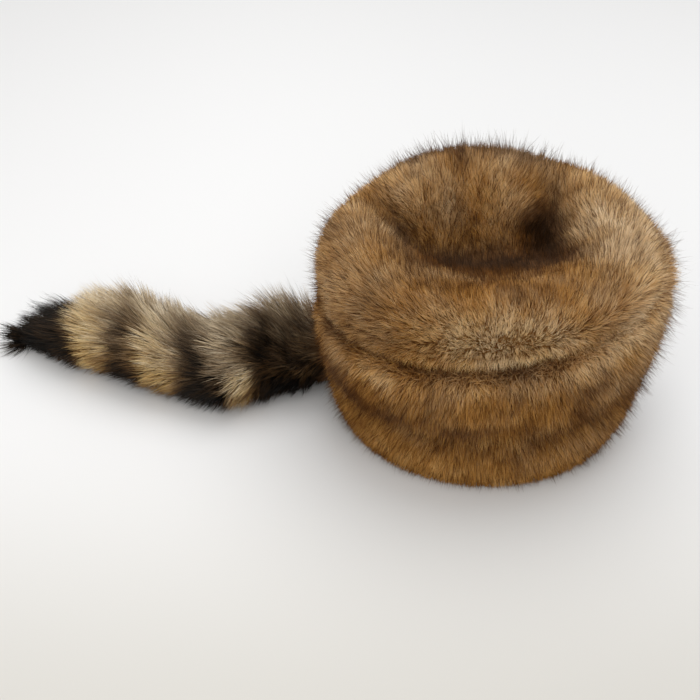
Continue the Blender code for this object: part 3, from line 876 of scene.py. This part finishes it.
# Along runs from the neck, 0, to the tip, 1
TailRow = namedtuple("TailRow", "along wide thick aside")
TailRing = namedtuple("TailRing", "along shade hue")
TailTuft = namedtuple("TailTuft", "along halfLong lift")
TailLean = namedtuple("TailLean", "along halfLong top low")
TailPatch = namedtuple("TailPatch", "along halfLong top halfTop push")
tail = dict(
    reach=0.260, wide=0.080, thick=0.068,
    sink=0.006,            # flattened by its own weight below
    swing=0.066,           # how far the tip lies to +Y of the cap's middle
    neckHeight=0.032, neckClearance=0.0006, shoulder=0.12,
    skinDepth=0.011,
    ringLead=0.05,         # hair shows this much nearer the tip than it grows
    rows=(
        TailRow(0.00, 0.66, 0.74, 0.27), TailRow(0.04, 0.70, 0.78, 0.28),
        TailRow(0.08, 0.86, 0.90, 0.30), TailRow(0.15, 0.98, 1.00, 0.30),
        TailRow(0.24, 0.98, 1.00, 0.20), TailRow(0.32, 1.00, 0.95, 0.15),
        TailRow(0.43, 0.92, 0.92, 0.26), TailRow(0.56, 1.00, 1.00, 0.50),
        TailRow(0.69, 0.84, 0.92, 0.68), TailRow(0.82, 0.66, 0.76, 0.81),
        TailRow(0.92, 0.40, 0.52, 0.92), TailRow(1.00, 0.12, 0.16, 1.00),
    ),
    # The rings' colours from the neck to the tip
    colourRings=(
        TailRing(0.00, 0.24, 0.6), TailRing(0.16, 0.30, 0.4), TailRing(0.20, 0.18, 0.6),
        TailRing(0.25, 0.18, 0.5), TailRing(0.29, 0.60, 0.3), TailRing(0.375, 0.68, 0.3),
        TailRing(0.40, 0.22, 0.4), TailRing(0.455, 0.22, 0.4), TailRing(0.485, 0.64, 0.4),
        TailRing(0.57, 0.78, 0.5), TailRing(0.60, 0.38, 0.5), TailRing(0.655, 0.30, 0.5),
        TailRing(0.69, 0.66, 0.5), TailRing(0.79, 0.83, 0.7), TailRing(0.82, 0.11, 0.5),
        TailRing(1.00, 0.06, 0.5),
    ),
    # How far the rings lean towards the root, on top and low down
    leans=(TailLean(0.27, 0.08, 0.0, 0.055), TailLean(0.60, 0.10, 0.05, -0.02)),
    # Darker and lighter places between the rings: top is 1 on top, -1 low down
    patches=(
        TailPatch(0.31, 0.055, -0.10, 0.32, -0.30), TailPatch(0.12, 0.05, 0.85, 0.50, 0.16),
        TailPatch(0.175, 0.03, 0.60, 0.50, -0.22), TailPatch(0.22, 0.05, -0.60, 0.30, 0.22),
    ),
    # Longer and shorter places of the coat on top
    tufts=(
        TailTuft(0.08, 0.10, 0.12), TailTuft(0.50, 0.05, -0.28), TailTuft(0.61, 0.03, 0.08),
        TailTuft(0.76, 0.035, -0.55), TailTuft(0.88, 0.06, -0.25),
    ),
    lift=0.12, rootLift=0.35, rootLiftEnd=0.25, tipLift=0.2, tipLiftStart=0.7,
    underLength=-0.22, tipLength=0.6, tipGrowth=4,
    topward=(0.77, 0.63), downward=(-0.60, -0.80),      # across and up, as the camera sees the tail
    ringMottles=(Mottle(0.020, 0.015, 7), Mottle(0.007, 0.018, 11)),
    shade=-0.05, shadeMottles=(Mottle(0.012, 0.10, 8),),
    # The top is paler over the dark rings between these places, up to a shade
    topCover=1.1, topShade=0.62, topStart=(0.12, 0.18), topEnd=(0.705, 0.745),
    underDark=0.9, underShade=1.15, underPale=(0.29, 0.07), underPaleShare=0.35,
    hueMottles=(Mottle(0.020, 0.2, 9),), underHue=0.7, topHue=-0.35,
    rootEnd=0.2, rootTopShade=0.4, rootMottles=(Mottle(0.011, 0.28, 10),),
    combStep=0.02, tipRise=0.6, tipRiseAlong=(0.78, 0.93),
    sectors=48, rings=60,
    hairs=38000,
)
tailFur = {
    "Length": 0.0255, "Width": 0.0005, "Bends": 3, "Rise": 1.10, "Lay": 0.50, "Unevenness": 0.5,
    "Swirl": 0.9, "Swirl Size": 0.03, "Stray": 0.26, "Tuft Size": 0.008, "Tuft Pull": 0.5,
    "Tuft Shade": 0.20, "Hair Shade": 0.13, "Guard Share": 0.07, "Guard Length": 1.15,
    "Guard Rise": 0.10, "Guard Shade": 0.45,
}
tailColours = dict(
    golden=((0.0, (0.006, 0.005, 0.004)), (0.25, (0.085, 0.043, 0.016)),
            (0.5, (0.35, 0.20, 0.075)), (0.75, (0.76, 0.54, 0.23)), (1.0, (0.92, 0.76, 0.42))),
    grey=((0.0, (0.006, 0.005, 0.004)), (0.25, (0.09, 0.060, 0.036)),
          (0.5, (0.38, 0.29, 0.19)), (0.75, (0.76, 0.64, 0.46)), (1.0, (0.93, 0.85, 0.70))),
    root=(0.30, 0.26, 0.22), rootFade=(0.0, 0.5),
    tip=(0.03, 0.022, 0.016), tipFade=(0.8, 1.0), tipShare=0.3,
    roughness=0.55, gloss=0.15,
    underfur=((0.0, (0.004, 0.004, 0.004)), (0.5, (0.08, 0.055, 0.035)), (1.0, (0.3, 0.22, 0.13))),
    woolSize=0.0014, woolContrast=0.4, woolBump=0.8, woolRoughness=0.95, woolGloss=0.1,
)


def tailPoint(along, angle):
    halfWide = tail["wide"] * readTable(tail["rows"], "wide", along) / 2
    halfThick = tail["thick"] * readTable(tail["rows"], "thick", along) / 2
    neck = max(0.0, 1 - along / tail["shoulder"])
    height = (halfThick - tail["sink"]) * (1 - neck) + tail["neckHeight"] * neck
    y = tail["swing"] * readTable(tail["rows"], "aside", along) + halfWide * math.cos(angle)
    z = max(0.0, height + halfThick * math.sin(angle))
    back = bandBack(0.0, tail["neckHeight"]) * (1 - neck) + bandBack(y, z) * neck
    return Vector((back - tail["neckClearance"] - tail["reach"] * along, y, z))


# How far a side of the tail faces across and up
def facing(angle, way):
    return way[0] * math.cos(angle) + way[1] * math.sin(angle)


# Shade and hue from the rings, with the top paler, the underside dark and the root grey on top
def tailColour(spot, along, top, under):
    onTop = clamp(top)
    ringAt = along + tail["ringLead"] + mottled(spot, tail["ringMottles"])
    for lean in tail["leans"]:
        near = bell(along, lean.along, lean.halfLong)
        ringAt += near * (lean.top * onTop + lean.low * clamp(-2 * top))
    shade = readTable(tail["colourRings"], "shade", ringAt) + tail["shade"]
    covered = ramp(along, *tail["topStart"]) * (1 - ramp(along, *tail["topEnd"]))
    shade += tail["topCover"] * onTop * clamp(tail["topShade"] - shade) * covered
    for patch in tail["patches"]:
        near = bell(along, patch.along, patch.halfLong) * bell(top, patch.top, patch.halfTop)
        shade += patch.push * near

    under *= 1 - tail["underPaleShare"] * bell(along, *tail["underPale"])
    shade -= tail["underDark"] * under ** 3 * (tail["underShade"] - shade)
    shade += mottled(spot, tail["shadeMottles"])
    atRoot = 1 - ramp(along, 0.0, tail["rootEnd"])
    shade += atRoot * (tail["rootTopShade"] * onTop ** 2 + mottled(spot, tail["rootMottles"]))

    hue = readTable(tail["colourRings"], "hue", ringAt) + mottled(spot, tail["hueMottles"])
    hue += tail["underHue"] * under + tail["topHue"] * onTop
    return shade, hue


def tailRoot(along, angle):
    spot = tailPoint(along, angle)
    top = facing(angle, tail["topward"])
    onTop = clamp(top)
    shade, hue = tailColour(spot, along, top, clamp(facing(angle, tail["downward"])))

    lift = tail["lift"] + tail["rootLift"] * (1 - ramp(along, 0.0, tail["rootLiftEnd"]))
    lift += tail["tipLift"] * ramp(along, tail["tipLiftStart"], 1.0)
    for tuft in tail["tufts"]:
        lift += tuft.lift * bell(along, tuft.along, tuft.halfLong) * onTop
    length = min(1.0, tail["tipLength"] + tail["tipGrowth"] * (1 - along))
    length *= 1 + lift * top + tail["underLength"] * clamp(-top)

    step = tail["combStep"]
    ahead = tailPoint(min(along + step, 1.0), angle) - tailPoint(max(along - step, 0.0), angle)
    comb = ahead.normalized() + Vector((0, 0, tail["tipRise"] * ramp(along, *tail["tipRiseAlong"])))
    return Root(spot, comb.normalized(), length, clamp(shade), clamp(hue), 1.0)


def makeTail(skinMaterials, hairMaterials):
    rings = []
    for k in range(tail["rings"] + 1):
        along = k / tail["rings"]
        rings.append([tailRoot(along, turn) for turn in evenTurns(tail["sectors"], 0.5)])
    mesh, rows = coatMesh(rings)
    sinkSkin(mesh, tail["skinDepth"])
    piece = grow("tail_fur", mesh, tailFur, tail["hairs"], 41, hairMaterials)
    standFor(piece, "tail")
    # Closes the skin at the neck, then at the tip
    neck = set(rows[0])
    rims = [edge for edge in mesh.edges if edge.is_boundary]
    bmesh.ops.contextual_create(mesh, geom=[edge for edge in rims if edge.verts[0] in neck])
    bmesh.ops.contextual_create(mesh, geom=[edge for edge in rims if edge.verts[0] not in neck])
    standFor(makeObject("tail_pelt", mesh, skinMaterials), "tail")


hide = hideMaterial(hideColours)
capHair = hairMaterial("cap_hair", capColours)
capUnderfur = underfurMaterial("cap_underfur", capColours)
makeBand([capUnderfur, hide], capHair)
makeCrown([capUnderfur, hide], capHair)
makeTail([underfurMaterial("tail_underfur", tailColours)], hairMaterial("tail_hair", tailColours))

# Floor, light and camera

studio = dict(
    pitch=39.2,                            # degrees, the camera looks down
    frameWidth=36,                         # millimetres
    focalPixels=1200, imageSize=700,
    offset=(-0.0991, -0.6954, 0.6147),     # from the cap's middle on the floor
    floorSize=8.0, floorRoughness=0.9, lampAim=0.08,
    # Painted shade on the floor: darker and warmer towards the front, and darker towards +X
    floorFront=(0.66, 0.642, 0.60), floorBack=(0.89, 0.89, 0.895), floorReach=(-0.34, 0.0),
    floorSide=0.93, floorTurn=(-0.15, 0.30),
    worldColour=(1.0, 0.985, 0.96), worldStrength=0.60,
    # Two round lamps, the key above and behind, the fill on the camera's side
    lamps=(
        ("key", (0.95, 0.975, 1.0), 9.5, 1.3, (0.22, 0.32, 1.38)),
        ("fill", (1.0, 0.98, 0.95), 9.0, 1.6, (-0.10, -1.00, 1.3)),
    ),
)


def makeStudio():
    bpy.ops.mesh.primitive_plane_add(size=studio["floorSize"], location=(0, 0, 0))
    floor = bpy.context.object
    floor.name = "floor"
    material, graph, shader = principled("pale_floor")
    spot = graph.node("ShaderNodeSeparateXYZ", None,
                      {0: graph.node("ShaderNodeTexCoord", None, None, "Object")})
    # Painted shade: the floor darkens and warms towards the front and darkens towards +X
    colour = graph.blend(graph.fade(spot.other("Y"), *studio["floorReach"]),
                         studio["floorFront"], studio["floorBack"])
    colour = colour * (1 - graph.fade(spot, *studio["floorTurn"]) * (1 - studio["floorSide"]))
    graph.feed(shader.inputs["Base Color"], colour)
    shader.inputs["Roughness"].default_value = studio["floorRoughness"]
    floor.data.materials.append(material)

    world = bpy.data.worlds.new("studio")
    world.use_nodes = True
    background = world.node_tree.nodes["Background"]
    background.inputs["Color"].default_value = (*studio["worldColour"], 1.0)
    background.inputs["Strength"].default_value = studio["worldStrength"]
    bpy.context.scene.world = world

    for name, colour, power, size, offset in studio["lamps"]:
        lamp = bpy.data.lights.new(name, "AREA")
        lamp.shape = "DISK"
        lamp.size = size
        lamp.energy = power
        lamp.color = colour
        light = bpy.data.objects.new(name, lamp)
        bpy.context.scene.collection.objects.link(light)
        light.location = (capMiddle + offset[0], *offset[1:])
        aim = Vector((capMiddle, 0, studio["lampAim"])) - light.location
        light.rotation_euler = aim.to_track_quat("-Z", "Y").to_euler()

    camera = bpy.data.objects.new("camera", bpy.data.cameras.new("camera"))
    camera.data.lens = studio["focalPixels"] / studio["imageSize"] * studio["frameWidth"]
    camera.data.sensor_width = studio["frameWidth"]
    camera.location = (capMiddle + studio["offset"][0], *studio["offset"][1:])
    camera.rotation_euler = (math.radians(90 - studio["pitch"]), 0, 0)
    bpy.context.scene.collection.objects.link(camera)
    bpy.context.scene.camera = camera
    bpy.context.scene.view_settings.view_transform = "Standard"
    print("Made the studio", flush=True)


makeStudio()
